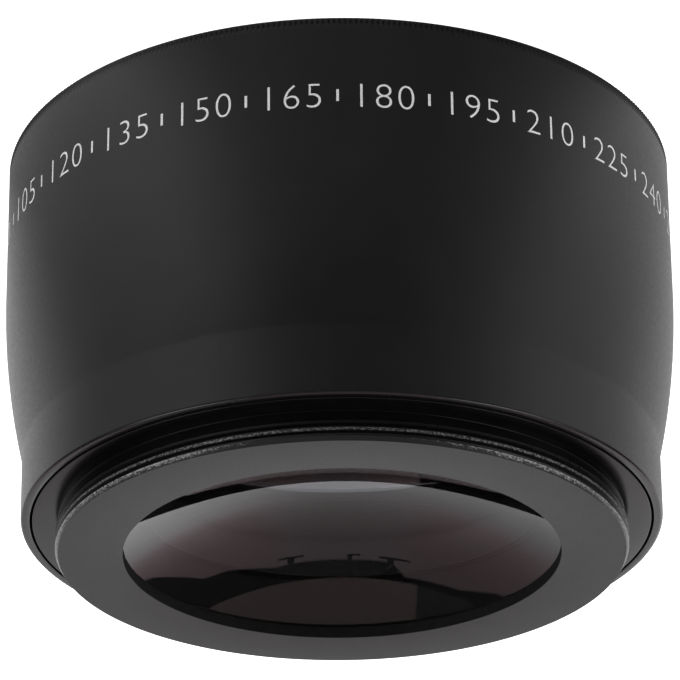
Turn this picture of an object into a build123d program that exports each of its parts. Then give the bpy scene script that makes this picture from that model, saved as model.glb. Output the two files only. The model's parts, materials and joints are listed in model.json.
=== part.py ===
# Telephoto conversion lens that screws into a camera lens with an M58 filter thread.
# Millimetres. The lens stands on its front rim: z = 0 is the plane of that rim, +Z is
# the optical axis towards the camera, and the M58 thread is at the top.
# Threads are plain cylinders at their nominal diameter.
import os
from math import asin, copysign, degrees, sqrt

from build123d import *

# Interfaces to other equipment
mount_thread_d = 58.0  # M58 x 0.75, outside thread that goes into the camera lens
filter_step = 4.5  # radius from the mount thread out to the M67 x 0.75 filter thread

# Barrel
filter_wall = 1.05  # wall outside the filter thread
band_height = 7.04  # straight band at the rear end of the barrel
waist_height = 17.6  # curved flank between the cylinder and the band
rim_wall = 0.93  # wall outside the counterbore that takes the mount ring
rim_edge = 0.18  # broken edge round the rear rim
front_edge = 0.15  # broken edge round the front rim
knurl_width = 1.1  # band of fine knurling on the front rim, here at its root
knurl_depth = 0.2
filter_lead = 0.5  # lead-in at the mouth of the filter thread
filter_thread_length = 2.8
ledge_thickness = 1.1  # shoulder inside the barrel that carries the lens stack
ledge_width = 1.2
bore_step = 1.6  # how far ahead of the middle element the bore narrows
thread_runout = 0.4  # barrel thread beyond the end of the sleeve

# Rear mount ring
thread_stand = 3.26  # how far the end face stands out of the barrel
mount_thread_length = 2.25
mount_thread_depth = 0.4
end_face_edge = 0.08  # broken edge at the start of the thread
flange_width = 2.73  # from the neck out to the seam
flange_thickness = 2.0
flange_edge = 0.1
seam_gap = 0.24  # dark ring that shows between flange and barrel
seal_width = 1.35
sleeve_thread_length = 4.0
sleeve_relief = 0.9  # the cell is this much smaller in radius than its sleeve thread
cell_gap = 1.27  # air between the ledge in the barrel and the end of the cell
cell_mouth = 0.6  # from the end of the cell to its retaining ring
lip_thickness = 1.2  # end face over the rim of the rear glass
lip_overlap = 1.1
aperture_r = 22.15
aperture_edge = 0.06

# Glass: polished spheres by their radius, thicknesses at the rim or on the axis
middle_glass_step = 1.4  # the middle element is this much smaller in radius than the front one
land_width = 1.0  # flat ground rim outside each clear surface
glass_setback = 0.2  # from the end of the filter thread to the top of the front glass
crown_front_radius = 87.0
cement_radius = 90.0
flint_rear_radius = 400.0
middle_front_radius = 70.0
middle_rear_radius = 110.0
rear_front_radius = 288.0
rear_rear_radius = 46.0
crown_edge = 2.1
middle_edge = 2.0
flint_centre = 2.2
rear_centre = 2.49
cement_gap = 0.02
doublet_air = 0.6  # on the axis, between the doublet and the middle element

# Rings between and around the glass
front_ring_inset = 2.05  # its thread is this much smaller in radius than the filter thread
front_ring_step = 1.25  # and this much larger than the front glass
front_ring_thickness = 2.0
front_ring_width = 2.3
rear_ring_thickness = 2.2
rear_ring_width = 2.4
rear_ring_step = 0.6
front_cushion_thickness = 0.55
rear_cushion_thickness = 0.8
seal_thickness = 0.4
stop_thickness = 0.2
stop_width = 3.4
spacer_wall = 1.3
spacer_mouth = 0.6
groove_count = 4  # light-trapping grooves inside the spacer
groove_depth = 0.4
slot_width = 1.6  # spanner slots, two in each retaining ring
slot_depth = 0.9

# Fits
glass_clearance = 0.05
thread_clearance = 0.05
cushion_clearance = 0.1
cell_clearance = 0.3
shoulder_clearance = 0.15


def sag(curve, r):
    """Depth of a sphere of radius curve at distance r from the axis."""
    return curve - sqrt(curve**2 - r**2)


def polished(vertex, curve, rim_r):
    """Line of a polished surface, axis to rim; a positive curve bends towards +Z."""

    def height(r):
        return vertex + copysign(sag(abs(curve), r), curve)

    return ThreePointArc((0, vertex), (rim_r / 2, height(rim_r / 2)), (rim_r, height(rim_r)))


# Radii
mount_r = mount_thread_d / 2
neck_r = mount_r - mount_thread_depth
filter_r = mount_r + filter_step
barrel_r = filter_r + filter_wall
knurl_r = barrel_r - knurl_depth
flange_r = neck_r + flange_width
counterbore_r = flange_r + seam_gap
band_r = counterbore_r + rim_wall
sleeve_r = flange_r - seal_width
cell_r = sleeve_r - sleeve_relief
rear_glass_r = aperture_r + lip_overlap
front_ring_r = filter_r - front_ring_inset
front_glass_r = front_ring_r - front_ring_step
middle_glass_r = front_glass_r - middle_glass_step
rear_ring_r = rear_glass_r + rear_ring_step
front_clear_r = front_glass_r - land_width
middle_clear_r = middle_glass_r - land_width
rear_clear_r = rear_glass_r - land_width
ledge_r = middle_glass_r - ledge_width
spacer_r = middle_glass_r - spacer_wall

# Heights of the lens stack, from the front rim towards the camera
filter_end = filter_lead + filter_thread_length
crown_top = filter_end + glass_setback
crown_rim = crown_top + sag(crown_front_radius, front_clear_r)
cement_rim = crown_rim + crown_edge
cement_top = cement_rim + sag(cement_radius, front_glass_r)
flint_top = cement_top + cement_gap
flint_back = flint_top + flint_centre
flint_rim = flint_back - sag(flint_rear_radius, front_clear_r)
middle_top = flint_back + doublet_air
middle_rim = middle_top + sag(middle_front_radius, middle_clear_r)
middle_back_rim = middle_rim + middle_edge
middle_back = middle_back_rim - sag(middle_rear_radius, middle_clear_r)
ledge_front = middle_back_rim + stop_thickness
ledge_back = ledge_front + ledge_thickness
cell_front = ledge_back + cell_gap
rear_ring_front = cell_front + cell_mouth
rear_cushion_front = rear_ring_front + rear_ring_thickness
rear_rim = rear_cushion_front + rear_cushion_thickness
rear_top = rear_rim + sag(rear_front_radius, rear_clear_r)
rear_back = rear_top + rear_centre
lip_front = rear_back + sag(rear_rear_radius, rear_clear_r)
lens_length = lip_front + lip_thickness

# Heights of the barrel, the mount ring and the front rings
front_cushion_front = crown_rim - front_cushion_thickness
front_ring_front = front_cushion_front - front_ring_thickness
bore_narrows = middle_rim - bore_step
rim_height = lens_length - thread_stand
band_start = rim_height - band_height
waist_start = band_start - waist_height
flange_back = rim_height - flange_thickness
seal_seat = flange_back - seal_thickness
sleeve_end = seal_seat - sleeve_thread_length
thread_end = sleeve_end - thread_runout

# Barrel: cylinder, flank that leaves it tangentially, straight band and stepped bore
waist_drop = barrel_r - band_r
waist_radius = (waist_drop**2 + waist_height**2) / (2 * waist_drop)
waist_angle = degrees(asin(waist_height / waist_radius))
lead_r = filter_r + filter_lead / 2
ring_bore_r = front_ring_r + thread_clearance
front_bore_r = front_glass_r + glass_clearance
middle_bore_r = middle_glass_r + glass_clearance
sleeve_bore_r = sleeve_r + thread_clearance
cell_bore_r = cell_r + cell_clearance

with BuildPart() as barrel_shell:
    with BuildSketch(Plane.XZ):
        with BuildLine():
            cylinder = Polyline(
                (lead_r, 0),
                (knurl_r - front_edge, 0),
                (knurl_r, front_edge),
                (knurl_r, knurl_width),
                (barrel_r, knurl_width),
                (barrel_r, waist_start),
            )
            flank = JernArc(cylinder @ 1, (0, 1), waist_radius, waist_angle)
            Polyline(
                flank @ 1,
                (band_r, rim_height - rim_edge),
                (band_r - rim_edge, rim_height),
                (counterbore_r, rim_height),
                (counterbore_r, seal_seat),
                (sleeve_bore_r, seal_seat),
                (sleeve_bore_r, thread_end),
                (cell_bore_r, thread_end),
                (cell_bore_r, ledge_back),
                (ledge_r, ledge_back),
                (ledge_r, ledge_front),
                (middle_bore_r, ledge_front),
                (middle_bore_r, bore_narrows),
                (front_bore_r, bore_narrows),
                (front_bore_r, crown_rim),
                (ring_bore_r, crown_rim),
                (ring_bore_r, filter_end),
                (filter_r, filter_end),
                (filter_r, filter_lead),
                cylinder @ 0,
            )
        make_face()
    revolve(axis=Axis.Z)

# Front retaining ring, with two spanner slots in the face that looks out
with BuildPart() as front_retaining_ring:
    with BuildSketch(Plane.XY.offset(front_ring_front)):
        Circle(front_ring_r)
        Circle(front_ring_r - front_ring_width, mode=Mode.SUBTRACT)
    extrude(amount=front_ring_thickness)
    inner_edge = front_retaining_ring.edges().filter_by(GeomType.CIRCLE).group_by(Axis.Z)[0]
    chamfer(inner_edge.sort_by(SortBy.RADIUS)[0], length=front_ring_thickness / 2)
    with BuildSketch(Plane.XY.offset(front_ring_front)):
        Rectangle(2 * front_ring_r, slot_width)
    extrude(amount=slot_depth, mode=Mode.SUBTRACT)

# Cushion between the front retaining ring and the ground rim of the front glass
with BuildPart() as front_cushion_ring:
    with BuildSketch(Plane.XY.offset(front_cushion_front)):
        Circle(front_glass_r - cushion_clearance)
        Circle(front_clear_r + cushion_clearance, mode=Mode.SUBTRACT)
    extrude(amount=front_cushion_thickness)
    fillet(front_cushion_ring.edges().filter_by(GeomType.CIRCLE), radius=front_cushion_thickness / 4)

# Front doublet: a biconvex crown element cemented to a flint meniscus
with BuildPart() as front_crown_element:
    with BuildSketch(Plane.XZ):
        with BuildLine():
            crown_front = polished(crown_top, crown_front_radius, front_clear_r)
            crown_rear = polished(cement_top, -cement_radius, front_glass_r)
            Polyline(crown_front @ 1, (front_glass_r, crown_rim), crown_rear @ 1)
            Line(crown_front @ 0, crown_rear @ 0)
        make_face()
    revolve(axis=Axis.Z)

with BuildPart() as front_flint_element:
    with BuildSketch(Plane.XZ):
        with BuildLine():
            flint_front = polished(flint_top, -cement_radius, front_glass_r)
            flint_rear = polished(flint_back, -flint_rear_radius, front_clear_r)
            Polyline(flint_front @ 1, (front_glass_r, flint_rim), flint_rear @ 1)
            Line(flint_front @ 0, flint_rear @ 0)
        make_face()
    revolve(axis=Axis.Z)

# Spacer between the doublet and the middle element, grooved inside against stray light
mouth_back = flint_rim + front_clear_r - spacer_r
grooves_end = middle_rim - spacer_mouth
groove_pitch = (grooves_end - mouth_back) / groove_count
groove_points = []
for number in range(groove_count):
    groove_start = grooves_end - number * groove_pitch
    groove_points += [
        (spacer_r, groove_start),
        (spacer_r + groove_depth, groove_start - groove_pitch / 2),
    ]

with BuildPart() as lens_spacer_ring:
    with BuildSketch(Plane.XZ):
        with BuildLine():
            Polyline(
                (front_clear_r, flint_rim),
                (front_glass_r, flint_rim),
                (front_glass_r, bore_narrows - shoulder_clearance),
                (middle_glass_r, bore_narrows - shoulder_clearance),
                (middle_glass_r, middle_rim),
                (middle_clear_r, middle_rim),
                *groove_points,
                (spacer_r, mouth_back),
                close=True,
            )
        make_face()
    revolve(axis=Axis.Z)

# Middle element: a positive meniscus
with BuildPart() as middle_element:
    with BuildSketch(Plane.XZ):
        with BuildLine():
            middle_front = polished(middle_top, middle_front_radius, middle_clear_r)
            middle_rear = polished(middle_back, middle_rear_radius, middle_clear_r)
            Polyline(
                middle_front @ 1,
                (middle_glass_r, middle_rim),
                (middle_glass_r, middle_back_rim),
                middle_rear @ 1,
            )
            Line(middle_front @ 0, middle_rear @ 0)
        make_face()
    revolve(axis=Axis.Z)

# Light stop: a thin blackened ring between the middle element and the ledge
with BuildPart() as light_stop_ring:
    with BuildSketch(Plane.XY.offset(middle_back_rim)):
        Circle(middle_glass_r)
        Circle(middle_glass_r - stop_width, mode=Mode.SUBTRACT)
    extrude(amount=stop_thickness)

# Seal that the flange of the mount ring is screwed down on
with BuildPart() as mount_seal_ring:
    with BuildSketch(Plane.XY.offset(seal_seat)):
        Circle(flange_r)
        Circle(sleeve_r + cushion_clearance, mode=Mode.SUBTRACT)
    extrude(amount=seal_thickness)

# Rear mount ring: end face, M58 thread, neck, flange, sleeve thread and the lens cell
rear_ring_bore_r = rear_ring_r + thread_clearance
rear_bore_r = rear_glass_r + glass_clearance
with BuildPart() as rear_mount_ring:
    with BuildSketch(Plane.XZ):
        with BuildLine():
            Polyline(
                (aperture_r + aperture_edge, lens_length),
                (mount_r - end_face_edge, lens_length),
                (mount_r, lens_length - end_face_edge),
                (mount_r, lens_length - mount_thread_length),
                (neck_r, lens_length - mount_thread_length),
                (neck_r, rim_height),
                (flange_r - flange_edge, rim_height),
                (flange_r, rim_height - flange_edge),
                (flange_r, flange_back),
                (sleeve_r, flange_back),
                (sleeve_r, sleeve_end),
                (cell_r, sleeve_end),
                (cell_r, cell_front),
                (rear_ring_bore_r, cell_front),
                (rear_ring_bore_r, rear_rim),
                (rear_bore_r, rear_rim),
                (rear_bore_r, lip_front),
                (aperture_r, lip_front),
                (aperture_r, lens_length - aperture_edge),
                close=True,
            )
        make_face()
    revolve(axis=Axis.Z)

# Rear element: a biconcave lens behind the aperture of the end face
with BuildPart() as rear_element:
    with BuildSketch(Plane.XZ):
        with BuildLine():
            rear_front = polished(rear_top, -rear_front_radius, rear_clear_r)
            rear_rear = polished(rear_back, rear_rear_radius, rear_clear_r)
            Polyline(
                rear_front @ 1,
                (rear_glass_r, rear_rim),
                (rear_glass_r, lip_front),
                rear_rear @ 1,
            )
            Line(rear_front @ 0, rear_rear @ 0)
        make_face()
    revolve(axis=Axis.Z)

# Cushion and retaining ring that hold the rear element in its cell
with BuildPart() as rear_cushion_ring:
    with BuildSketch(Plane.XY.offset(rear_cushion_front)):
        Circle(rear_glass_r - cushion_clearance)
        Circle(rear_clear_r + cushion_clearance, mode=Mode.SUBTRACT)
    extrude(amount=rear_cushion_thickness)
    fillet(rear_cushion_ring.edges().filter_by(GeomType.CIRCLE), radius=rear_cushion_thickness / 4)

with BuildPart() as rear_retaining_ring:
    with BuildSketch(Plane.XY.offset(rear_ring_front)):
        Circle(rear_ring_r)
        Circle(rear_ring_r - rear_ring_width, mode=Mode.SUBTRACT)
    extrude(amount=rear_ring_thickness)
    with BuildSketch(Plane.XY.offset(rear_ring_front)):
        Rectangle(2 * rear_ring_r, slot_width)
    extrude(amount=slot_depth, mode=Mode.SUBTRACT)

# One file for each piece
pieces = {
    "barrel_shell": barrel_shell,
    "front_retaining_ring": front_retaining_ring,
    "front_cushion_ring": front_cushion_ring,
    "front_crown_element": front_crown_element,
    "front_flint_element": front_flint_element,
    "lens_spacer_ring": lens_spacer_ring,
    "middle_element": middle_element,
    "light_stop_ring": light_stop_ring,
    "mount_seal_ring": mount_seal_ring,
    "rear_mount_ring": rear_mount_ring,
    "rear_element": rear_element,
    "rear_cushion_ring": rear_cushion_ring,
    "rear_retaining_ring": rear_retaining_ring,
}
os.makedirs("parts", exist_ok=True)
for name, piece in pieces.items():
    piece.part.label = name
    export_step(piece.part, f"parts/{name}.step")

print(f"length {lens_length:.3f}, rim {rim_height:.3f}, ledge back {ledge_back:.3f}")
print(f"filter thread {2 * filter_r:.2f}, barrel {2 * barrel_r:.2f}, band {2 * band_r:.2f}")
print(f"filter thread ends at {filter_end:.3f}, front ring at {front_ring_front:.3f}")
print(f"rear glass vertex {rear_back:.3f}, cell front {cell_front:.3f}")
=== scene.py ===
# Telephoto conversion lens that stands on its front rim, seen from its threaded rear end.
import json
import math

import bmesh
import bpy
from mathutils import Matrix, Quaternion, Vector


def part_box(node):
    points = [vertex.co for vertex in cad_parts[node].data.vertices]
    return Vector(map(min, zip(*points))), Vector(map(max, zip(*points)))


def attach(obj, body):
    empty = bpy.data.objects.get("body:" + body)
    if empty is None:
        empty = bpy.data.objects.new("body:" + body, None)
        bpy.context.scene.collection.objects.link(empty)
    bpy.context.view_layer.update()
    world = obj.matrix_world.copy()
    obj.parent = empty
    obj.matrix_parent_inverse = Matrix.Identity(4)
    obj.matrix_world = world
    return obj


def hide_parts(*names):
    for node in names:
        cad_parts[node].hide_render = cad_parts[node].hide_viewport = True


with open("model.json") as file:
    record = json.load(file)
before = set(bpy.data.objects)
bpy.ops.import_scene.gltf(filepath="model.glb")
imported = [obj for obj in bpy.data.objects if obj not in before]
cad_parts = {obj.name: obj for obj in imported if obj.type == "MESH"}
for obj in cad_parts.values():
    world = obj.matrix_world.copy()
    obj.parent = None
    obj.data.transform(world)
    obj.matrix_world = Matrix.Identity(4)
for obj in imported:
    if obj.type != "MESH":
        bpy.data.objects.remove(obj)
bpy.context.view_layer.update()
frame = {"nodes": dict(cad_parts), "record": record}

mm = 0.001
facets = 384  # round every turned piece
record = frame["record"]
bodyOf = {node: body for body, nodes in record["behaviour"]["bodies"].items() for node in nodes}
mountSize = {mount["name"]: mount["dims"] for mount in record["mounts"]}


def extent(node):
    low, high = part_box(node)
    return high.x / mm, low.z / mm, high.z / mm


# Radius, lowest and highest point of each piece that others are fitted to, in mm
shellR, _, shellHigh = extent("barrel_shell")
mountR, mountLow, mountHigh = extent("rear_mount_ring")
frontRingR, _, frontRingHigh = extent("front_retaining_ring")
crownR, crownLow, crownHigh = extent("front_crown_element")
flintR, flintLow, flintHigh = extent("front_flint_element")
middleR, middleLow, _ = extent("middle_element")
rearR, rearLow, rearHigh = extent("rear_element")
_, sealLow, _ = extent("mount_seal_ring")
_, _, stopHigh = extent("light_stop_ring")
spacerR, spacerLow, spacerHigh = extent("lens_spacer_ring")
mountThreadR = mountSize["camera_thread"]["r_mm"]
filterR = mountSize["filter_thread"]["r_mm"]
print("frame read: length", round(mountHigh, 3), "mm")


def placed(name, data):
    thing = bpy.data.objects.new(name, data)
    bpy.context.scene.collection.objects.link(thing)
    return thing


def plainMesh(source):
    # what an object's text or nodes make; the object itself goes
    bpy.context.view_layer.update()
    graph = bpy.context.evaluated_depsgraph_get()
    mesh = bpy.data.meshes.new_from_object(source.evaluated_get(graph), depsgraph=graph)
    source.modifiers.clear()
    bpy.data.objects.remove(source)
    return mesh


# Materials
def newMaterial(name, colour, roughness, settings):
    material = bpy.data.materials.new(name)
    material.use_nodes = True
    shader = material.node_tree.nodes["Principled BSDF"]
    shader.inputs["Base Color"].default_value = (*colour, 1)
    shader.inputs["Roughness"].default_value = roughness
    for socket, value in settings.items():
        shader.inputs[socket].default_value = value
    return material, shader


def plug(tree, socket, value):
    # another node's output is linked to the socket, and a plain value is set on it
    if isinstance(value, bpy.types.NodeSocket):
        tree.links.new(value, socket)
    elif value is not None:
        socket.default_value = value


def sums(tree, operation, first, second=0.0, third=None):
    node = tree.nodes.new("ShaderNodeMath")
    node.operation = operation
    for socket, value in zip(node.inputs, (first, second, third)):
        plug(tree, socket, value)
    return node.outputs[0]


def product(tree, first, *others):
    for value in others:
        first = sums(tree, "MULTIPLY", first, value)
    return first


def total(tree, first, *others):
    for value in others:
        first = sums(tree, "ADD", first, value)
    return first


def joined(tree, x, y, z):
    node = tree.nodes.new("ShaderNodeCombineXYZ")
    for socket, value in zip(node.inputs, (x, y, z)):
        plug(tree, socket, value)
    return node.outputs[0]


def vectorMath(tree, operation, first, second=None, scale=None):
    node = tree.nodes.new("ShaderNodeVectorMath")
    node.operation = operation
    plug(tree, node.inputs[0], first)
    plug(tree, node.inputs[1], second)
    if scale is not None:
        plug(tree, node.inputs["Scale"], scale)
    return node.outputs["Value" if operation == "DOT_PRODUCT" else "Vector"]


def coordinates(tree):
    # the piece's own x, y and z, and the distance from its axis
    place = tree.nodes.new("ShaderNodeTexCoord")
    split = tree.nodes.new("ShaderNodeSeparateXYZ")
    tree.links.new(place.outputs["Object"], split.inputs[0])
    x, y, z = split.outputs
    squares = total(tree, sums(tree, "POWER", x, 2.0), sums(tree, "POWER", y, 2.0))
    return x, y, z, sums(tree, "SQRT", squares)


def mapRange(tree, value, start, end, low=0.0, high=1.0, interpolation="LINEAR"):
    spread = tree.nodes.new("ShaderNodeMapRange")
    spread.interpolation_type = interpolation
    for label, number in zip(("From Min", "From Max", "To Min", "To Max"), (start, end, low, high)):
        spread.inputs[label].default_value = number
    tree.links.new(value, spread.inputs["Value"])
    return spread.outputs["Result"]


def grain(material, size, detail=2.0):
    # noise fixed to the piece, its features about size mm across
    nodes, links = material.node_tree.nodes, material.node_tree.links
    place = nodes.new("ShaderNodeTexCoord")
    texture = nodes.new("ShaderNodeTexNoise")
    texture.inputs["Scale"].default_value = 1 / (size * mm)
    texture.inputs["Detail"].default_value = detail
    links.new(place.outputs["Object"], texture.inputs["Vector"])
    return texture.outputs["Fac"]


def between(material, value, low, high, target, lowAt=0.3, highAt=0.7):
    # spreads a noise value between two plain values or two colours
    nodes, links = material.node_tree.nodes, material.node_tree.links
    if isinstance(low, tuple):
        ramp = nodes.new("ShaderNodeValToRGB")
        ramp.color_ramp.elements[0].position = lowAt
        ramp.color_ramp.elements[1].position = highAt
        ramp.color_ramp.elements[0].color = (*low, 1)
        ramp.color_ramp.elements[1].color = (*high, 1)
        links.new(value, ramp.inputs["Fac"])
        links.new(ramp.outputs["Color"], target)
        return
    links.new(mapRange(material.node_tree, value, lowAt, highAt, low, high), target)


def rough(material, shader, heights):
    # bumps one above the other: (noise value, depth in mm)
    nodes, links = material.node_tree.nodes, material.node_tree.links
    before = None
    for value, depth in heights:
        bump = nodes.new("ShaderNodeBump")
        bump.inputs["Strength"].default_value = 1
        bump.inputs["Distance"].default_value = depth * mm
        links.new(value, bump.inputs["Height"])
        if before:
            links.new(before.outputs["Normal"], bump.inputs["Normal"])
        before = bump
    links.new(before.outputs["Normal"], shader.inputs["Normal"])


def satinAnodised():
    dark, pale = (0.0022, 0.0022, 0.0023), (0.0034, 0.0034, 0.0035)
    material, shader = newMaterial("satinAnodised", dark, 0.38, {"Specular IOR Level": 0.5})
    between(material, grain(material, 4.0, 3), dark, pale, shader.inputs["Base Color"])
    between(material, grain(material, 0.35), 0.34, 0.42, shader.inputs["Roughness"])
    rough(material, shader, [(grain(material, 0.12, 1), 0.0012), (grain(material, 0.6, 2), 0.0012)])
    return material


def charcoalAnodised():
    dark, pale = (0.0014, 0.0014, 0.0015), (0.0022, 0.0022, 0.0023)
    material, shader = newMaterial("charcoalAnodised", dark, 0.22, {"Specular IOR Level": 0.5})
    between(material, grain(material, 3.0, 3), dark, pale, shader.inputs["Base Color"])
    between(material, grain(material, 0.3), 0.19, 0.25, shader.inputs["Roughness"])
    rough(material, shader, [(grain(material, 0.1, 1), 0.0008)])
    return material


def satinFace():
    # the turned end face, more even than the rest of its ring
    material, shader = newMaterial("satinFace", (0.016, 0.016, 0.016), 0.45, {"Specular IOR Level": 0.65})
    between(material, grain(material, 2.5, 3), (0.014,) * 3, (0.019,) * 3, shader.inputs["Base Color"])
    between(material, grain(material, 0.3), 0.42, 0.48, shader.inputs["Roughness"])
    rough(material, shader, [(grain(material, 0.1, 1), 0.001)])
    return material


def turnedRim():
    # the barrel's rear rim, smoother than its wall
    material, shader = newMaterial("turnedRim", (0.002, 0.002, 0.002), 0.25, {"Specular IOR Level": 1.0})
    between(material, grain(material, 1.5, 3), 0.22, 0.28, shader.inputs["Roughness"])
    between(material, grain(material, 2.5, 3), (0.0016,) * 3, (0.0026,) * 3, shader.inputs["Base Color"])
    rough(material, shader, [(grain(material, 0.1, 1), 0.0008)])
    return material


def wearAndHighlightSpecks(material, shader, mask, tones, tonesAt, metal, metalAt):
    # specks of bare metal where the mask is high; on the turned land they are also painted highlight
    specks = product(material.node_tree, grain(material, 0.2, 4), mask)
    dark, bare = tones
    between(material, specks, (dark,) * 3, (bare,) * 3, shader.inputs["Base Color"], *tonesAt)
    between(material, specks, 0.0, metal, shader.inputs["Metallic"], *metalAt)
    rough(material, shader, [(grain(material, 0.15, 3), 0.01)])


def wornCrests():
    # thread crests, where the black has rubbed down to bright metal: radius and height in mm
    worn = dict(inner=28.9, outer=28.96, low=41.15, high=41.5, least=0.12)
    material, shader = newMaterial("wornCrests", (0.002, 0.002, 0.002), 0.35, {"Specular IOR Level": 0.5})
    tree = material.node_tree
    x, y, z, radius = coordinates(tree)
    crest = mapRange(tree, radius, worn["inner"] * mm, worn["outer"] * mm)
    last = mapRange(tree, z, worn["low"] * mm, worn["high"] * mm, worn["least"])
    mask = product(tree, crest, last)
    wearAndHighlightSpecks(material, shader, mask, tones=(0.002, 0.3), tonesAt=(0.46, 0.74), metal=0.8, metalAt=(0.48, 0.7))
    between(material, grain(material, 0.4), 0.25, 0.45, shader.inputs["Roughness"])
    return material


def wornLand():
    # the turned edge between the last crest and the end face, its bare-metal wear made stronger to the left
    # and right as painted highlight: distances to the side in mm
    worn = dict(near=4.0, far=16.0, least=0.5, depth=0.44, high=0.6)
    material, shader = newMaterial("wornLand", (0.01, 0.01, 0.01), 0.4, {"Specular IOR Level": 0.6})
    tree = material.node_tree
    x, y, z, radius = coordinates(tree)
    # painted highlight: the specks grow towards the left and right, where the edge catches the light
    sideways = sums(tree, "ABSOLUTE", x)
    side = mapRange(tree, sideways, worn["near"] * mm, worn["far"] * mm, worn["least"])
    foot = (mountHigh - worn["depth"]) * mm
    outer = mapRange(tree, z, foot, mountHigh * mm, 1.0, worn["high"])
    mask = product(tree, side, outer)
    wearAndHighlightSpecks(material, shader, mask, tones=(0.006, 0.4), tonesAt=(0.36, 0.78), metal=0.5, metalAt=(0.45, 0.7))
    return material


def mattBlack():
    material, shader = newMaterial("mattBlack", (0.004, 0.004, 0.004), 0.7, {"Specular IOR Level": 0.2})
    between(material, grain(material, 0.8, 3), (0.003,) * 3, (0.006,) * 3, shader.inputs["Base Color"])
    rough(material, shader, [(grain(material, 0.15, 2), 0.004)])
    return material


def blackRubber():
    material, shader = newMaterial("blackRubber", (0.018, 0.018, 0.019), 0.75, {"Specular IOR Level": 0.4})
    between(material, grain(material, 0.5, 3), 0.68, 0.82, shader.inputs["Roughness"])
    rough(material, shader, [(grain(material, 0.2, 2), 0.006)])
    return material


def blackNylon():
    material, shader = newMaterial("blackNylon", (0.02, 0.02, 0.021), 0.5, {"Specular IOR Level": 0.45})
    between(material, grain(material, 1.5, 3), 0.42, 0.55, shader.inputs["Roughness"])
    rough(material, shader, [(grain(material, 0.3, 2), 0.003)])
    return material


def whitePaint():
    material, shader = newMaterial("whitePaint", (0.55, 0.55, 0.55), 0.55, {"Specular IOR Level": 0.3})
    between(material, grain(material, 0.15, 3), (0.46,) * 3, (0.62,) * 3, shader.inputs["Base Color"])
    rough(material, shader, [(grain(material, 0.1, 2), 0.002)])
    return material


def coatedGlass(name, index, reflection, tint, body):
    # clear glass whose coating weakens and colours what it reflects
    settings = {"IOR": index, "Specular IOR Level": reflection, "Specular Tint": (*tint, 1)}
    material, shader = newMaterial(name, body, 0, {"Transmission Weight": 1, **settings})
    darker = tuple(0.96 * channel for channel in body)
    between(material, grain(material, 5.0, 2), darker, body, shader.inputs["Base Color"])
    return material


barrelBlack = satinAnodised()
rimBlack = turnedRim()
mountBlack = charcoalAnodised()
faceBlack = satinFace()
crestMetal = wornCrests()
landMetalAndHighlight = wornLand()
insideBlack = mattBlack()
rubber = blackRubber()
nylon = blackNylon()
paint = whitePaint()
frontGlass = coatedGlass("frontGlass", 1.62, 0.25, (0.55, 0.9, 0.7), (0.97, 0.98, 0.97))
innerGlass = coatedGlass("innerGlass", 1.62, 0.2, (1.0, 0.4, 0.35), (0.8, 0.76, 0.76))
rearGlass = coatedGlass("rearGlass", 1.55, 0.45, (1.0, 0.93, 0.95), (0.8, 0.76, 0.76))
print("materials made")


# Turned pieces: a closed outline of (radius, height) in mm, spun round the axis
def eased(corners, steps=4):
    # a corner with a third number gets a small arc of that radius
    points = []
    for number, corner in enumerate(corners):
        here = Vector(corner[:2])
        if len(corner) == 2:
            points.append(here)
            continue
        toLast = (Vector(corners[number - 1][:2]) - here).normalized()
        toNext = (Vector(corners[(number + 1) % len(corners)][:2]) - here).normalized()
        half = toLast.angle(toNext) / 2
        centre = here + (toLast + toNext).normalized() * corner[2] / math.sin(half)
        start = here + toLast * corner[2] / math.tan(half) - centre
        end = here + toNext * corner[2] / math.tan(half) - centre
        points += [centre + start.slerp(end, step / steps) * corner[2] for step in range(steps + 1)]
    return points


def sag(radius, r):
    # how far a sphere's surface has bent away at a distance r from its axis
    return radius - math.sqrt(radius**2 - r**2)


def polished(vertex, radius, rim, steps=28):
    # axis to rim of a sphere; a positive radius bends up towards the rear
    points = []
    for step in range(steps + 1):
        r = rim * step / steps
        points.append(Vector((r, vertex + math.copysign(sag(abs(radius), r), radius))))
    return points


def lathe(name, outline, material, zones=(), sharpAngle=24):
    # a zone is a second material and the lowest radius, highest radius and lowest height it covers
    mesh = bpy.data.meshes.new(name)
    build = bmesh.new()
    rings = []
    for r, z in outline:
        if r < 1e-6:
            rings.append([build.verts.new((0, 0, z * mm))])
            continue
        turn = [math.tau * step / facets for step in range(facets)]
        rings.append([build.verts.new((r * mm * math.cos(a), r * mm * math.sin(a), z * mm)) for a in turn])
    for ring, following in zip(rings, rings[1:] + rings[:1]):
        if len(ring) == 1 and len(following) == 1:
            continue
        for step in range(facets):
            after = (step + 1) % facets
            if len(ring) == 1:
                corners = [ring[0], following[step], following[after]]
            elif len(following) == 1:
                corners = [ring[step], following[0], ring[after]]
            else:
                corners = [ring[step], following[step], following[after], ring[after]]
            face = build.faces.new(corners)
            middle = face.calc_center_median() / mm
            for number, (_, lowR, highR, lowZ) in enumerate(zones):
                if lowR < middle.xy.length < highR and middle.z > lowZ:
                    face.material_index = number + 1
    bmesh.ops.recalc_face_normals(build, faces=build.faces)
    build.to_mesh(mesh)
    build.free()
    mesh.materials.append(material)
    for zone in zones:
        mesh.materials.append(zone[0])
    mesh.shade_smooth()
    mesh.set_sharp_from_angle(angle=math.radians(sharpAngle))
    return placed(name, mesh)


def fit(piece, node, replaced=True):
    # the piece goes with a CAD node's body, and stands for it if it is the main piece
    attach(piece, bodyOf[node])
    if replaced:
        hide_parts(node)


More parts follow.
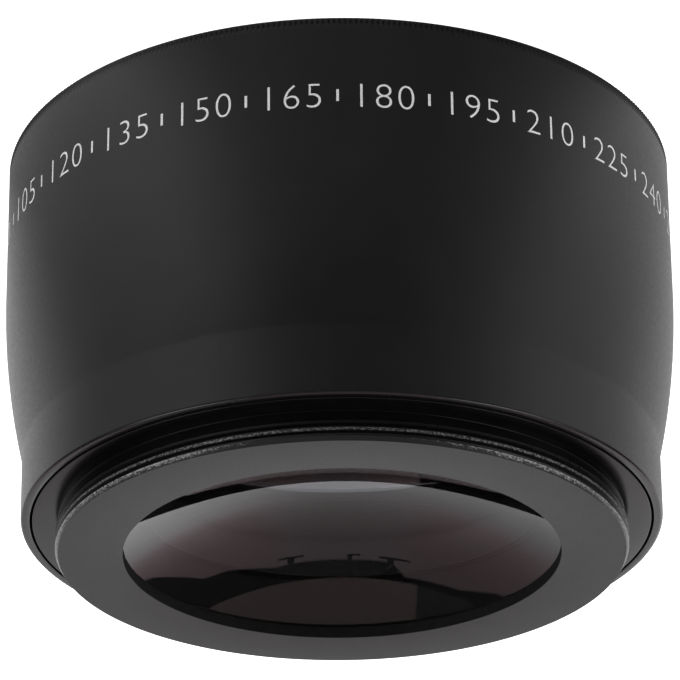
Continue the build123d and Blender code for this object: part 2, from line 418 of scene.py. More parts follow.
# Geometry Nodes
def newTree(name, sizes):
    tree = bpy.data.node_groups.new(name, "GeometryNodeTree")
    tree.interface.new_socket("Geometry", in_out="OUTPUT", socket_type="NodeSocketGeometry")
    for label, value in sizes.items():
        kind = "NodeSocketInt" if isinstance(value, int) else "NodeSocketFloat"
        socket = tree.interface.new_socket(label, in_out="INPUT", socket_type=kind)
        socket.default_value = value
    tree.interface.new_socket("Finish", in_out="INPUT", socket_type="NodeSocketMaterial")
    return tree, tree.nodes.new("NodeGroupInput")


def endTree(tree, sizes, geometry):
    # realised, finished and handed out
    realize = tree.nodes.new("GeometryNodeRealizeInstances")
    setMaterial = tree.nodes.new("GeometryNodeSetMaterial")
    out = tree.nodes.new("NodeGroupOutput")
    tree.links.new(geometry, realize.inputs[0])
    tree.links.new(realize.outputs[0], setMaterial.inputs["Geometry"])
    tree.links.new(sizes.outputs["Finish"], setMaterial.inputs["Material"])
    tree.links.new(setMaterial.outputs[0], out.inputs[0])


def sweptGrid(tree, sizes, grid, angle, radius, height):
    # a grid's points at their angle, radius and height, its ends and sides joined
    x = product(tree, sums(tree, "COSINE", angle), radius)
    y = product(tree, sums(tree, "SINE", angle), radius)
    place = vectorMath(tree, "SCALE", joined(tree, x, y, height), scale=mm)
    setPosition = tree.nodes.new("GeometryNodeSetPosition")
    tree.links.new(grid.outputs["Mesh"], setPosition.inputs["Geometry"])
    tree.links.new(place, setPosition.inputs["Position"])
    merge = tree.nodes.new("GeometryNodeMergeByDistance")
    merge.inputs["Distance"].default_value = 1e-6
    tree.links.new(setPosition.outputs[0], merge.inputs["Geometry"])
    endTree(tree, sizes, merge.outputs[0])
    return tree


def grownMesh(name, tree, values, finish, smoothAngle=30):
    # runs the tree on an empty object, with the values that differ from its own
    seed = placed(name + "Seed", bpy.data.meshes.new(name + "Seed"))
    modifier = seed.modifiers.new(name, "NODES")
    modifier.node_group = tree
    for socket in tree.interface.items_tree:
        if socket.in_out == "INPUT" and socket.name in values:
            modifier[socket.identifier] = values[socket.name]
        if socket.in_out == "INPUT" and socket.name == "Finish":
            modifier[socket.identifier] = finish
    mesh = plainMesh(seed)
    mesh.name = name
    build = bmesh.new()
    build.from_mesh(mesh)
    bmesh.ops.holes_fill(build, edges=[edge for edge in build.edges if edge.is_boundary])
    bmesh.ops.recalc_face_normals(build, faces=build.faces)
    build.to_mesh(mesh)
    build.free()
    mesh.shade_smooth()
    mesh.set_sharp_from_angle(angle=math.radians(smoothAngle))
    return placed(name, mesh)


threadSize = {
    "Radius": 28.6,
    "Height": 0.4,
    "Pitch": 0.75,
    "Start": 40.0,
    "Turns": 2.5,
    "Foot": 0.62,
    "Crest": 0.12,
    "Fade": 0.12,
    "Sunk": 0.05,
    "Steps": 900,
}


def threadTree():
    # one helical ridge: rows of five points, foot, crest, crest, foot and back inside the wall
    tree, sizes = newTree("screwThread", threadSize)
    size = sizes.outputs
    grid = tree.nodes.new("GeometryNodeMeshGrid")
    grid.inputs["Vertices Y"].default_value = 5
    tree.links.new(size["Steps"], grid.inputs["Vertices X"])
    index = tree.nodes.new("GeometryNodeInputIndex").outputs[0]
    row = sums(tree, "MODULO", index, 5)
    step = sums(tree, "FLOOR", sums(tree, "DIVIDE", index, 5))
    share = sums(tree, "DIVIDE", step, sums(tree, "SUBTRACT", size["Steps"], 1))
    # fades the ridge in and out at its two ends
    fadeIn = sums(tree, "MINIMUM", sums(tree, "DIVIDE", share, size["Fade"]), 1)
    fadeOut = sums(tree, "MINIMUM", sums(tree, "DIVIDE", sums(tree, "SUBTRACT", 1, share), size["Fade"]), 1)
    fromMiddle = sums(tree, "ABSOLUTE", sums(tree, "SUBTRACT", row, 1.5))
    isCrest = sums(tree, "COMPARE", fromMiddle, 0.5, 0.1)
    # the fifth row lies on the first, which closes the ridge
    isLast = sums(tree, "COMPARE", row, 4, 0.1)
    isFoot = sums(tree, "MAXIMUM", sums(tree, "COMPARE", fromMiddle, 1.5, 0.1), isLast)
    side = sums(tree, "SIGN", sums(tree, "SUBTRACT", row, total(tree, 1.5, product(tree, isLast, 4))))
    width = total(tree, product(tree, isFoot, size["Foot"]), product(tree, isCrest, size["Crest"]))
    rise = product(tree, isCrest, product(tree, fadeIn, fadeOut, size["Height"]))
    sink = product(tree, isFoot, size["Sunk"])
    radius = sums(tree, "SUBTRACT", total(tree, size["Radius"], rise), sink)
    turned = product(tree, share, size["Turns"])
    angle = product(tree, turned, math.tau)
    shift = product(tree, side, width, 0.5)
    height = total(tree, size["Start"], product(tree, turned, size["Pitch"]), shift)
    return sweptGrid(tree, sizes, grid, angle, radius, height)


screwThread = threadTree()

# Barrel shell: knurled front rim, cylinder, curved flank, straight band and rear rim
barrel = dict(
    rimWall=0.93,
    seamGap=0.24,
    rimEdge=0.3,
    innerEdge=0.05,
    rimFinish=0.22,  # how far its smoother finish reaches down
    bandHeight=7.04,
    waistHeight=17.6,
    knurlWidth=1.1,
    knurlRingR=34.0,
    frontFace=33.75,  # inner edge of the flat front face
    filterLead=0.5,
    filterLength=2.8,
    clearance=0.05,
    paintDepth=0.005,  # the wall lies this far under its painted figures
    boreStep=1.6,
    threadRunout=0.4,
    sleeveR=30.03,
    sleeveEnd=33.241,
    cellBoreR=29.38,
    ledgeR=27.6,
    ledgeBack=27.742,
    ringRelief=0.55,
    blackFrom=4.0,  # the bore is matt black from this height on
    finishGap=0.01,  # keeps the bore's black off the rim
)
counterboreR = mountR + barrel["seamGap"]
bandR = counterboreR + barrel["rimWall"]
bandStart = shellHigh - barrel["bandHeight"]
waistStart = bandStart - barrel["waistHeight"]
wallR = shellR - barrel["paintDepth"]


def flank(steps=40):
    # an arc that leaves the cylinder along its side
    drop = wallR - bandR
    radius = (drop**2 + barrel["waistHeight"] ** 2) / (2 * drop)
    points = []
    for step in range(1, steps + 1):
        climb = barrel["waistHeight"] * step / steps
        points.append((wallR - radius + math.sqrt(radius**2 - climb**2), waistStart + climb))
    return points


def makeBarrel():
    corners = [
        (barrel["frontFace"], 0),
        (barrel["knurlRingR"], 0),
        (barrel["knurlRingR"], barrel["knurlWidth"]),
        (wallR, barrel["knurlWidth"]),
        (wallR, waistStart),
        *flank(),
        (bandR, shellHigh, barrel["rimEdge"]),
        (counterboreR, shellHigh, barrel["innerEdge"]),
        (counterboreR, sealLow),
        (barrel["sleeveR"], sealLow),
        (barrel["sleeveR"], barrel["sleeveEnd"] - barrel["threadRunout"]),
        (barrel["cellBoreR"], barrel["sleeveEnd"] - barrel["threadRunout"]),
        (barrel["cellBoreR"], barrel["ledgeBack"]),
        (barrel["ledgeR"], barrel["ledgeBack"]),
        (barrel["ledgeR"], stopHigh),
        (middleR + barrel["clearance"], stopHigh),
        (middleR + barrel["clearance"], spacerHigh - barrel["boreStep"]),
        (crownR + barrel["clearance"], spacerHigh - barrel["boreStep"]),
        (crownR + barrel["clearance"], frontRingHigh + barrel["ringRelief"]),
        (frontRingR + barrel["clearance"], frontRingHigh + barrel["ringRelief"]),
        (frontRingR + barrel["clearance"], barrel["filterLead"] + barrel["filterLength"]),
        (filterR, barrel["filterLead"] + barrel["filterLength"]),
        (filterR, barrel["filterLead"]),
    ]
    zones = [
        (rimBlack, counterboreR, bandR, shellHigh - barrel["rimFinish"]),
        (insideBlack, 0.0, counterboreR - barrel["finishGap"], barrel["blackFrom"]),
    ]
    shell = lathe("barrel_shell_turned", eased(corners), barrelBlack, zones)
    fit(shell, "barrel_shell")
    filterThread = dict(Radius=filterR, Height=-0.4, Start=0.95, Turns=2.6, Sunk=-0.05)  # an inner thread
    thread = grownMesh("filter_thread_ridge", screwThread, filterThread, barrelBlack)
    fit(thread, "barrel_shell", replaced=False)


# Front rim knurl: fine upright teeth that run out into the cylinder
knurl = {
    "Teeth": 400,
    "Crest": shellR,
    "Depth": 0.2,
    "Inner": barrel["knurlRingR"],
    "Top": barrel["knurlWidth"],
    "Full": 0.62,
    "Edge": 0.16,
}


def knurlTree():
    # a ring swept round a circle, its outer points pushed in between the teeth
    tree, sizes = newTree("rimKnurl", knurl)
    size = sizes.outputs
    grid = tree.nodes.new("GeometryNodeMeshGrid")
    around = total(tree, product(tree, size["Teeth"], 4), 1)
    grid.inputs["Vertices Y"].default_value = 7
    tree.links.new(around, grid.inputs["Vertices X"])
    index = tree.nodes.new("GeometryNodeInputIndex").outputs[0]
    row = sums(tree, "MODULO", index, 7)
    step = sums(tree, "FLOOR", sums(tree, "DIVIDE", index, 7))
    share = sums(tree, "DIVIDE", step, sums(tree, "SUBTRACT", around, 1))
    angle = product(tree, share, math.tau)

    def at(*rows):
        return total(tree, 0.0, *[sums(tree, "COMPARE", row, number, 0.1) for number in rows])

    # rows: inner bottom, outer bottom, edge, full depth, run out, inner top, inner bottom again
    bevel = product(tree, at(1), sums(tree, "SUBTRACT", size["Crest"], size["Depth"]))
    flat = product(tree, at(0, 5, 6), size["Inner"])
    saw = sums(tree, "PINGPONG", sums(tree, "DIVIDE", step, 2), 1)
    cut = product(tree, saw, size["Depth"], at(2, 3))
    crest = sums(tree, "SUBTRACT", product(tree, at(2, 3, 4), size["Crest"]), cut)
    radius = total(tree, bevel, flat, crest)
    edge = product(tree, at(2), size["Edge"])
    height = total(tree, edge, product(tree, at(3), size["Full"]), product(tree, at(4, 5), size["Top"]))
    return sweptGrid(tree, sizes, grid, angle, radius, height)


def makeKnurl():
    ring = grownMesh("front_rim_knurl", knurlTree(), {}, barrelBlack, 12)
    fit(ring, "barrel_shell", replaced=False)


makeBarrel()
makeKnurl()
print("barrel made")

# Plain degree scale round the barrel: figures and ticks in white
scale = dict(
    figures=24,
    centreHeight=8.75,
    figureHeight=2.6,
    letterGap=1.12,
    thin=0.02,  # taken off the strokes' edges, at a letter size of 1
    sunk=0.05,
    sliceWidth=0.4,
    startAngle=-97.5,
)


def wrapped(build, turn):
    # lays flat figures on the cylinder: their tops towards the front rim, reading round the barrel
    for vertex in build.verts:
        along, up, out = vertex.co
        angle = turn - along / (shellR * mm)
        r = shellR * mm + out
        vertex.co = (r * math.cos(angle), r * math.sin(angle), scale["centreHeight"] * mm - up)


def figureMesh(text, turn):
    curve = bpy.data.curves.new("figure", "FONT")
    curve.body = text
    curve.align_x = "CENTER"
    curve.space_character = scale["letterGap"]
    curve.resolution_u = 6
    curve.size = 1
    curve.extrude = 0.1
    curve.offset = -scale["thin"]
    mesh = plainMesh(placed("figure", curve))
    build = bmesh.new()
    build.from_mesh(mesh)
    bpy.data.meshes.remove(mesh)
    bmesh.ops.remove_doubles(build, verts=build.verts, dist=1e-5)
    top = max(vertex.co.y for vertex in build.verts)
    low = min(vertex.co.y for vertex in build.verts)
    factor = scale["figureHeight"] * mm / (top - low)
    for vertex in build.verts:
        out = 0 if vertex.co.z > 0 else -scale["sunk"]
        vertex.co = (vertex.co.x * factor, (vertex.co.y - (top + low) / 2) * factor, out * mm)
    reach = max(abs(vertex.co.x) for vertex in build.verts)
    slices = int(reach / (scale["sliceWidth"] * mm)) + 1
    for number in range(-slices, slices + 1):
        everything = build.verts[:] + build.edges[:] + build.faces[:]
        cutAt = (number * scale["sliceWidth"] * mm, 0, 0)
        bmesh.ops.bisect_plane(build, geom=everything, plane_co=cutAt, plane_no=(1, 0, 0))
    wrapped(build, turn)
    return build


def makeFigures():
    mesh = bpy.data.meshes.new("scale_figures")
    whole = bmesh.new()
    count = scale["figures"]
    for number in range(count):
        turn = math.radians(scale["startAngle"]) - math.tau * (number - count / 2) / count
        build = figureMesh(str(number * 360 // count), turn)
        part = bpy.data.meshes.new("part")
        build.to_mesh(part)
        build.free()
        whole.from_mesh(part)
        bpy.data.meshes.remove(part)
    bmesh.ops.recalc_face_normals(whole, faces=whole.faces)
    whole.to_mesh(mesh)
    whole.free()
    mesh.materials.append(paint)
    fit(placed("scale_figures", mesh), "barrel_shell", replaced=False)


ticks = {
    "Count": scale["figures"],
    "Radius": shellR,
    "Thickness": 0.05,
    "Width": 0.26,
    "Length": 1.3,
    "Height": scale["centreHeight"],
    "Turn": scale["startAngle"] + 180 / scale["figures"],
}


def tickTree():
    # one small bar, set round the barrel between the figures
    tree, sizes = newTree("scaleTicks", ticks)
    size = sizes.outputs
    circle = tree.nodes.new("GeometryNodeMeshCircle")
    tree.links.new(size["Count"], circle.inputs["Vertices"])
    middle = sums(tree, "SUBTRACT", size["Radius"], sums(tree, "DIVIDE", size["Thickness"], 2))
    tree.links.new(product(tree, middle, mm), circle.inputs["Radius"])
    bar = tree.nodes.new("GeometryNodeMeshCube")
    metres = [product(tree, size[label], mm) for label in ("Thickness", "Width", "Length")]
    tree.links.new(joined(tree, *metres), bar.inputs["Size"])
    index = tree.nodes.new("GeometryNodeInputIndex").outputs[0]
    step = sums(tree, "DIVIDE", math.tau, size["Count"])
    spread = tree.nodes.new("GeometryNodeInstanceOnPoints")
    tree.links.new(circle.outputs[0], spread.inputs["Points"])
    tree.links.new(bar.outputs["Mesh"], spread.inputs["Instance"])
    tree.links.new(joined(tree, 0, 0, product(tree, index, step)), spread.inputs["Rotation"])
    turn = tree.nodes.new("GeometryNodeTransform")
    tree.links.new(spread.outputs[0], turn.inputs["Geometry"])
    tree.links.new(joined(tree, 0, 0, sums(tree, "RADIANS", size["Turn"])), turn.inputs["Rotation"])
    tree.links.new(joined(tree, 0, 0, product(tree, size["Height"], mm)), turn.inputs["Translation"])
    endTree(tree, sizes, turn.outputs[0])
    return tree


def makeTicks():
    marks = grownMesh("scale_ticks", tickTree(), {}, paint)
    fit(marks, "barrel_shell", replaced=False)


makeFigures()
makeTicks()
print("scale made")

# Rear mount ring: end face, M58 thread, neck, flange, sleeve thread and lens cell
mountRing = dict(
    apertureR=22.15,
    apertureEdge=0.05,
    blackR=24.0,  # inside this it is matt black
    lip=1.2,
    faceR=28.68,
    landR=28.97,
    landDrop=0.44,
    faceDepth=0.03,  # its even finish reaches this far down
    relief=0.2,  # from the land's foot to the bottom of the thread's first groove
    threadDepth=0.4,
    flangeEdge=0.08,
    neckStep=0.13,
    neckRound=0.05,
    flangeThickness=2.0,
    sleeveR=29.98,
    sleeveLength=4.4,
    sleeveLead=0.5,
    cellR=29.08,
    cellBoreR=23.9,
    glassBoreR=23.3,
)


def makeMountRing():
    rootR = mountThreadR - mountRing["threadDepth"]
    flangeBack = shellHigh - mountRing["flangeThickness"]
    sleeveEnd = flangeBack - mountRing["sleeveLength"]
    sleeveRoot = mountRing["sleeveR"] - mountRing["threadDepth"]
    corners = [
        (mountRing["apertureR"], mountHigh - mountRing["lip"]),
        (mountRing["apertureR"], mountHigh, mountRing["apertureEdge"]),
        (mountRing["faceR"], mountHigh),
        (mountRing["landR"], mountHigh - mountRing["landDrop"]),
        (rootR, mountHigh - mountRing["landDrop"] - mountRing["relief"]),
        (rootR, shellHigh + mountRing["neckStep"]),
        (rootR + mountRing["neckStep"], shellHigh + mountRing["neckStep"], mountRing["neckRound"]),
        (rootR + mountRing["neckStep"], shellHigh),
        (mountR, shellHigh, mountRing["flangeEdge"]),
        (mountR, flangeBack),
        (sleeveRoot, flangeBack),
        (sleeveRoot, sleeveEnd),
        (mountRing["cellR"], sleeveEnd),
        (mountRing["cellR"], mountLow),
        (mountRing["cellBoreR"], mountLow),
        (mountRing["cellBoreR"], rearLow),
        (mountRing["glassBoreR"], rearLow),
        (mountRing["glassBoreR"], mountHigh - mountRing["lip"]),
    ]
    zones = [
        (insideBlack, 0.0, mountRing["blackR"], 0.0),
        (faceBlack, mountRing["apertureR"], mountRing["faceR"], mountHigh - mountRing["faceDepth"]),
        (landMetalAndHighlight, mountRing["faceR"], mountRing["landR"], mountHigh - mountRing["landDrop"]),
    ]
    ring = lathe("rear_mount_ring_turned", eased(corners), mountBlack, zones)
    fit(ring, "rear_mount_ring")
    mountThread = dict(Radius=rootR, Start=40.43, Turns=2.6, Fade=0.06, Crest=0.24, Foot=0.66)
    thread = grownMesh("mount_thread_ridge", screwThread, mountThread, crestMetal)
    fit(thread, "rear_mount_ring", replaced=False)
    sleeveStart = sleeveEnd + mountRing["sleeveLead"]
    sleeveThread = dict(Radius=sleeveRoot, Start=sleeveStart, Turns=4.6, Steps=1700, Fade=0.04)
    thread = grownMesh("sleeve_thread_ridge", screwThread, sleeveThread, mountBlack)
    fit(thread, "rear_mount_ring", replaced=False)


makeMountRing()
print("rear mount ring made")

# Glass: the radii of its polished spheres, and its ground rims, which are painted black
glass = dict(
    land=1.0,  # the width of the seats round the clear glass
    crownFront=87.0,
    cement=90.0,
    flintRear=400.0,
    middleFront=70.0,
    middleRear=110.0,
    middleEdge=2.0,
    rearFront=288.0,
    rearRear=46.0,
    rearCentre=2.49,
)


def makeElement(name, node, front, edge, rear, finish, clear):
    # front and rear run from the axis to the rim, and the edge joins them
    outline = front + [Vector(point) for point in edge] + rear[::-1]
    fit(lathe(name, outline, finish, [(insideBlack, clear, shellR, 0.0)]), node)


def makeGlass():
    clear = crownR - glass["land"]
    front = polished(crownLow, glass["crownFront"], clear)
    rear = polished(crownHigh, -glass["cement"], crownR)
    edge = [(crownR, crownLow + sag(glass["crownFront"], clear))]
    makeElement("front_crown_polished", "front_crown_element", front, edge, rear, frontGlass, clear)

    front = polished(flintLow + sag(glass["cement"], flintR), -glass["cement"], flintR)
    rear = polished(flintHigh, -glass["flintRear"], clear)
    edge = [(flintR, flintHigh - sag(glass["flintRear"], clear))]
    makeElement("front_flint_polished", "front_flint_element", front, edge, rear, innerGlass, clear)

    clear = middleR - glass["land"]
    frontRim = middleLow + sag(glass["middleFront"], clear)
    backRim = frontRim + glass["middleEdge"]
    front = polished(middleLow, glass["middleFront"], clear)
    rear = polished(backRim - sag(glass["middleRear"], clear), glass["middleRear"], clear)
    edge = [(middleR, frontRim), (middleR, backRim)]
    makeElement("middle_element_polished", "middle_element", front, edge, rear, innerGlass, clear)

    clear = rearR - glass["land"]
    vertex = rearLow + sag(glass["rearFront"], clear)
    front = polished(vertex, -glass["rearFront"], clear)
    rear = polished(vertex + glass["rearCentre"], glass["rearRear"], clear)
    edge = [(rearR, rearLow), (rearR, rearHigh)]
    makeElement("rear_element_polished", "rear_element", front, edge, rear, rearGlass, clear)


makeGlass()
print("glass made")

# Rings between and around the glass
rings = dict(  # an ease is the rounding of an edge
    cushionEase=0.13,
    cushionInset=0.9,
    sealEase=0.05,
    stopEase=0.02,
    stopWidth=3.4,
    spacerWall=1.3,
    spacerMouth=0.6,
    grooves=4,
    grooveDepth=0.4,
    stepGap=0.15,  # between its step and the step of the bore
    sealR=30.08,
)


def plainRing(node, innerR, ease, material):
    outerR, low, high = extent(node)
    corners = [(innerR, low, ease), (outerR, low, ease), (outerR, high, ease), (innerR, high, ease)]
    fit(lathe(node + "_turned", eased(corners), material), node)


def makeRings():
    plainRing("front_cushion_ring", crownR - rings["cushionInset"], rings["cushionEase"], rubber)
    plainRing("rear_cushion_ring", rearR - rings["cushionInset"], rings["cushionEase"], rubber)
    plainRing("mount_seal_ring", rings["sealR"], rings["sealEase"], nylon)
    plainRing("light_stop_ring", middleR - rings["stopWidth"], rings["stopEase"], insideBlack)
    insideR = middleR - rings["spacerWall"]
    clearR = crownR - glass["land"]
    mouthBack = spacerLow + clearR - insideR
    grooveEnd = spacerHigh - rings["spacerMouth"]
    pitch = (grooveEnd - mouthBack) / rings["grooves"]
    stepHeight = spacerHigh - barrel["boreStep"] - rings["stepGap"]
    corners = [
        (clearR, spacerLow),
        (spacerR, spacerLow),
        (spacerR, stepHeight),
        (middleR, stepHeight),
        (middleR, spacerHigh),
        (middleR - glass["land"], spacerHigh),
    ]
    for number in range(rings["grooves"]):
        start = grooveEnd - number * pitch
        corners += [(insideR, start), (insideR + rings["grooveDepth"], start - pitch / 2)]
    corners.append((insideR, mouthBack))
    fit(lathe("lens_spacer_ring_turned", eased(corners), insideBlack), "lens_spacer_ring")


def finishNode(node, material):
    # a CAD node that keeps its own shape
    piece = frame["nodes"][node]
    if not piece.material_slots:
        piece.data.materials.append(material)
    for materialSlot in piece.material_slots:
        materialSlot.material = material


makeRings()
finishNode("front_retaining_ring", insideBlack)
finishNode("rear_retaining_ring", insideBlack)
print("inner rings made")

# Studio: pale floor, soft light from both sides and a bright backdrop low behind
floor = dict(
    radius=3.0,
    white=0.8,
    seen=1.0,  # how bright the camera sees it, over its own light
    underR=33.9,  # the lens shuts the light out here, and inside it the floor is painted near black as shade
    under=0.02,
    # painted shade and painted pools of light that gloss sees round the lens, dark before it and bright to
    # its sides: degrees from the camera's side, towards the picture's left
    around=[
        (-180, 1.0),
        (-118, 0.95),
        (-105, 0.76),
        (-87, 0.72),
        (-66, 0.8),
        (-44, 0.34),
        (-22, 0.19),
        (2, 0.28),
        (22, 0.38),
        (43, 0.95),
        (64, 0.62),
        (88, 0.43),
        (108, 0.88),
        (118, 1.15),
        (150, 1.2),
        (180, 1.0),
    ],
    # and how that painted shade falls off with distance in metres, straight before it
    away=[(0.0, 1.0), (0.115, 1.0), (0.2, 0.5), (0.4, 0.3), (1.0, 0.3)],
    facing=(0.88, 0.99),  # the cosines between which that starts
    gap=0.02,  # under the lens
)


def stops(tree, value, levels):
    # a row of (place from 0 to 1, level) that a value runs along
    ramp = tree.nodes.new("ShaderNodeValToRGB")
    elements = ramp.color_ramp.elements
    elements[0].position, elements[1].position = levels[0][0], levels[-1][0]
    for place, level in levels[1:-1]:
        elements.new(place)
    for element, (place, level) in zip(elements, levels):
        colour = level if isinstance(level, tuple) else (level,) * 3
        element.color = (*colour, 1)
    tree.links.new(value, ramp.inputs["Fac"])
    return ramp.outputs["Color"]


def stepUp(tree, value, low, high, first, second):
    # smooth change from one colour to another as a value goes from low to high
    mix = tree.nodes.new("ShaderNodeMix")
    mix.data_type = "RGBA"
    share = mapRange(tree, value, low, high, interpolation="SMOOTHSTEP")
    tree.links.new(share, mix.inputs["Factor"])
    for socket, colour in zip((mix.inputs[6], mix.inputs[7]), (first, second)):
        plug(tree, socket, (*colour, 1) if isinstance(colour, tuple) else colour)
    return mix.outputs[2]


def makeFloor():
    mesh = bpy.data.meshes.new("floor")
    build = bmesh.new()
    bmesh.ops.create_circle(build, cap_ends=True, segments=128, radius=floor["underR"] * mm)
    rim = [edge for edge in build.edges if edge.is_boundary]
    grown = bmesh.ops.extrude_edge_only(build, edges=rim)["geom"]
    for item in grown:
        if isinstance(item, bmesh.types.BMVert):
            item.co *= floor["radius"] / (floor["underR"] * mm)
    bmesh.ops.recalc_face_normals(build, faces=build.faces)
    for face in build.faces:
        face.material_index = int(len(face.verts) > 4)
    build.to_mesh(mesh)
    build.free()
    piece = placed("floor", mesh)
    piece.location.z = -floor["gap"] * mm
    material, shader = newMaterial("paleFloor", (floor["white"],) * 3, 0.9, {"Specular IOR Level": 0})
    tree = material.node_tree
    path = tree.nodes.new("ShaderNodeLightPath").outputs
    shader.inputs["Emission Color"].default_value = (1, 1, 1, 1)
    tree.links.new(product(tree, path["Is Camera Ray"], floor["seen"]), shader.inputs["Emission Strength"])
    x, y, z, reach = coordinates(tree)
    # painted shade before the lens and painted pools of light to its sides, seen only by gloss and glass
    forward = product(tree, y, -1.0)
    share = sums(tree, "MULTIPLY_ADD", sums(tree, "ARCTAN2", x, forward), 1 / math.tau, 0.5)
    around = stops(tree, share, [(degrees / 360 + 0.5, level) for degrees, level in floor["around"]])
    away = stops(tree, reach, floor["away"])
    fade = stepUp(tree, sums(tree, "DIVIDE", forward, reach), *floor["facing"], (1.0, 1.0, 1.0), away)
    paintedShadeAndPools = tree.nodes.new("ShaderNodeEmission")
    tree.links.new(vectorMath(tree, "MULTIPLY", around, fade), paintedShadeAndPools.inputs["Color"])
    mix = tree.nodes.new("ShaderNodeMixShader")
    inGloss = sums(tree, "MAXIMUM", path["Is Glossy Ray"], path["Is Transmission Ray"])
    tree.links.new(inGloss, mix.inputs["Fac"])
    tree.links.new(shader.outputs[0], mix.inputs[1])
    tree.links.new(paintedShadeAndPools.outputs[0], mix.inputs[2])
    tree.links.new(mix.outputs[0], tree.nodes["Material Output"].inputs["Surface"])
    mesh.materials.append(material)
    # painted shade: the floor under the lens
    under, shader = newMaterial("shadedFloor", (floor["under"],) * 3, 0.9, {"Specular IOR Level": 0})
    mesh.materials.append(under)


sky = dict(
    # how bright gloss sees it by the sine of the height over the horizon
    levels=[
        (0.0, 0.62),
        (0.31, 0.6),
        (0.36, (0.56, 0.55, 0.57)),
        (0.41, (0.56, 0.54, 0.55)),
        (0.5, (0.48, 0.45, 0.455)),
        (0.6, (0.4, 0.365, 0.37)),
        (0.7, (0.36, 0.315, 0.32)),
        (1.0, (0.34, 0.29, 0.29)),
    ],
    # and how much more of it comes from the side of the picture's right
    sideGlow=[(0.0, 0.95), (0.38, 0.95), (0.44, 0.55), (0.5, 0.35), (0.6, 0.2), (1.0, 0.2)],
    sideStart=(0.02, 0.3),
    frontLevel=0.1,  # of that, on the camera's side
    frontFade=(-0.95, -0.25),
    warmTint=(1.0, 0.86, 0.88),  # half way up, left and right of the lamp
    warmHeight=0.62,
    warmFade=(0.1, 0.28),  # above and below that height
    warmStart=(0.08, 0.2),
    farSide=0.12,  # beyond that
    farStart=(0.52, 0.72),
    farHeight=(0.08, 0.2),
    lampHeight=0.235,  # the sines of the angles of a tall oval lamp low behind
    lampReach=(0.09, 0.149),
    lampEdge=(0.94, 1.0),
    lampLevel=(0.93, 0.95, 1.0),
    boxPlace=(0.62, -0.15, 0.77),  # soft boxes over both shoulders
    boxReach=14.0,
    boxEdge=0.01,
    boxLevel=1.6,
    # the ceiling: how far back and to the side things are seen in it, both over the height
    lowestSine=0.02,
    ceilingEdge=0.53,
    beamLevel=(0.02, 0.02, 0.023),
    ceilingLevel=(0.29, 0.24, 0.225),
    ceilingSide=0.245,
    sideLevel=(0.07, 0.07, 0.075),
    sideSoftness=0.005,
    edgeSoftness=0.006,
    beamSoftness=0.015,
    # how far the dark beam reaches back, by how far to the side
    beamReach=[
        (-1.0, 1.9),
        (-0.78, 1.38),
        (-0.64, 1.11),
        (-0.48, 0.83),
        (-0.39, 0.81),
        (-0.22, 0.69),
        (-0.13, 0.7),
        (0.16, 0.7),
        (0.2, 0.58),
        (0.4, 0.6),
        (0.58, 0.75),
        (1.0, 1.1),
    ],
    # brackets that hang from it: place, half width, reach, half thickness
    brackets=[
        (-0.165, 0.042, 0.765, 0.011),
        (-0.165, 0.011, 0.73, 0.035),
        (0.04, 0.018, 0.75, 0.01),
        (0.025, 0.008, 0.725, 0.03),
        (0.17, 0.05, 0.74, 0.011),
        (0.155, 0.011, 0.71, 0.035),
    ],
)


def studioLevel(tree, x, y, z):
    # the back wall, brighter to one side and dim on the camera's side
    spread = mapRange(tree, product(tree, x, -1.0), *sky["sideStart"], interpolation="SMOOTHSTEP")
    glow = total(tree, product(tree, spread, stops(tree, z, sky["sideGlow"])), 1.0)
    back = vectorMath(tree, "SCALE", stops(tree, z, sky["levels"]), scale=glow)
    level = stepUp(tree, y, *sky["frontFade"], (sky["frontLevel"],) * 3, back)

    # warmer to the sides and dark beyond
    sideways = sums(tree, "ABSOLUTE", x)
    fromWarm = sums(tree, "ABSOLUTE", sums(tree, "SUBTRACT", z, sky["warmHeight"]))
    tinted = vectorMath(tree, "MULTIPLY", level, sky["warmTint"])
    warm = stepUp(tree, fromWarm, *sky["warmFade"], tinted, level)
    level = stepUp(tree, sideways, *sky["warmStart"], level, warm)
    dark = stepUp(tree, z, *sky["farHeight"], level, (sky["farSide"],) * 3)
    level = stepUp(tree, sideways, *sky["farStart"], level, dark)

    # a lamp low behind
    wide = sums(tree, "POWER", sums(tree, "DIVIDE", sideways, sky["lampReach"][0]), 2.0)
    tall = sums(tree, "DIVIDE", sums(tree, "SUBTRACT", z, sky["lampHeight"]), sky["lampReach"][1])
    tall = sums(tree, "POWER", sums(tree, "ABSOLUTE", tall), 2.0)
    oval = total(tree, wide, tall, sums(tree, "LESS_THAN", y, 0.0))
    return stepUp(tree, oval, *sky["lampEdge"], sky["lampLevel"], level)


def ceilingLevel(tree, x, y, z, level):
    # a dark beam across the ceiling, with brackets, and a lit part over the object
    height = sums(tree, "MAXIMUM", z, sky["lowestSine"])
    across = sums(tree, "DIVIDE", x, height)
    along = sums(tree, "DIVIDE", sums(tree, "ABSOLUTE", y), height)
    side, soft = sky["ceilingSide"], sky["sideSoftness"]
    lit = stepUp(tree, across, side - soft, side + soft, sky["ceilingLevel"], sky["sideLevel"])
    edge, soft = sky["ceilingEdge"], sky["edgeSoftness"]
    overhead = stepUp(tree, along, edge - soft, edge + soft, lit, sky["beamLevel"])
    share = sums(tree, "MULTIPLY_ADD", across, 0.5, 0.5)
    reach = stops(tree, share, [(place / 2 + 0.5, far / 2) for place, far in sky["beamReach"]])
    past = sums(tree, "SUBTRACT", along, product(tree, reach, 2.0))
    soft = sky["beamSoftness"]
    level = stepUp(tree, past, -soft, soft, overhead, level)
    for middle, halfWidth, far, halfThick in sky["brackets"]:
        aside = sums(tree, "COMPARE", across, middle, halfWidth)
        bar = product(tree, aside, sums(tree, "COMPARE", along, far, halfThick))
        level = stepUp(tree, bar, 0.0, 1.0, level, sky["beamLevel"])
    return level


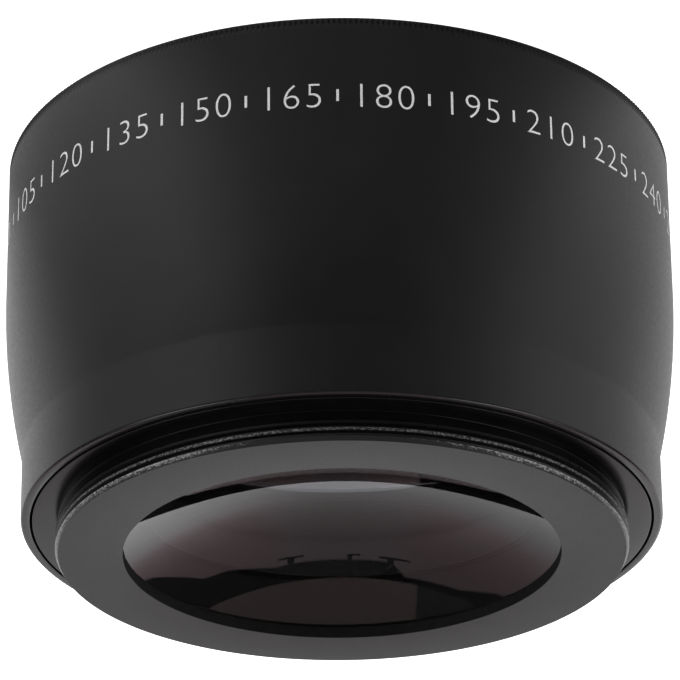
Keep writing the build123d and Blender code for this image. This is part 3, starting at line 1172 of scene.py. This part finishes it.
def boxesLevel(tree, x, y, z, level):
    # soft boxes for the edges, the same left and right
    seen = joined(tree, sums(tree, "ABSOLUTE", x), y, z)
    toBox = vectorMath(tree, "DOT_PRODUCT", seen, Vector(sky["boxPlace"]).normalized())
    edge, soft = math.cos(math.radians(sky["boxReach"])), sky["boxEdge"]
    return stepUp(tree, toBox, edge - soft, edge + soft, level, (sky["boxLevel"],) * 3)


def makeWorld():
    # white to the camera, and the studio to everything else
    world = bpy.data.worlds.new("studio")
    bpy.context.scene.world = world
    world.use_nodes = True
    tree = world.node_tree
    nodes, links = tree.nodes, tree.links
    nodes.clear()
    split = nodes.new("ShaderNodeSeparateXYZ")
    links.new(nodes.new("ShaderNodeTexCoord").outputs["Generated"], split.inputs[0])
    x, y, z = split.outputs
    level = ceilingLevel(tree, x, y, z, studioLevel(tree, x, y, z))
    light = nodes.new("ShaderNodeBackground")
    links.new(boxesLevel(tree, x, y, z, level), light.inputs["Color"])
    white = nodes.new("ShaderNodeBackground")
    white.inputs["Color"].default_value = (1, 1, 1, 1)
    mix = nodes.new("ShaderNodeMixShader")
    links.new(nodes.new("ShaderNodeLightPath").outputs["Is Camera Ray"], mix.inputs["Fac"])
    links.new(light.outputs[0], mix.inputs[1])
    links.new(white.outputs[0], mix.inputs[2])
    links.new(mix.outputs[0], nodes.new("ShaderNodeOutputWorld").inputs["Surface"])


# place, size in metres and power in watts
lights = dict(
    leftSoftBox=((0.55, -0.1, 0.3), (0.5, 0.5), 3),
    rightSoftBox=((-0.55, -0.1, 0.3), (0.5, 0.5), 3),
    frontFill=((0, -0.6, 0.6), (0.6, 0.4), 2.5),
)


lampAim = Vector((0, 0, 0.02))


def makeLights():
    for name, (place, size, power) in lights.items():
        data = bpy.data.lights.new(name, "AREA")
        data.shape = "RECTANGLE"
        data.size, data.size_y = size
        data.energy = power
        lamp = placed(name, data)
        lamp.location = place
        lamp.rotation_euler = (lampAim - Vector(place)).to_track_quat("-Z", "Y").to_euler()
        lamp.visible_glossy = False


# the photo's view, which is turned half way round: mm and degrees
view = dict(distance=438.5, elevation=25.583, aimHeight=18.588, lens=224.33, sensor=36.0, roll=179.434)


def makeCamera():
    data = bpy.data.cameras.new("camera")
    data.lens = view["lens"]
    data.sensor_width = view["sensor"]
    data.clip_start = 0.01
    camera = placed("camera", data)
    tilt = math.radians(view["elevation"])
    back = Vector((0, -math.cos(tilt), math.sin(tilt)))
    camera.location = Vector((0, 0, view["aimHeight"] * mm)) + back * view["distance"] * mm
    camera.rotation_mode = "QUATERNION"
    turned = Quaternion((0, 0, 1), math.radians(view["roll"]))
    camera.rotation_quaternion = (-back).to_track_quat("-Z", "Y") @ turned
    bpy.context.scene.camera = camera


makeFloor()
makeWorld()
makeLights()
makeCamera()
bpy.context.scene.view_settings.view_transform = "Standard"
print("studio made")
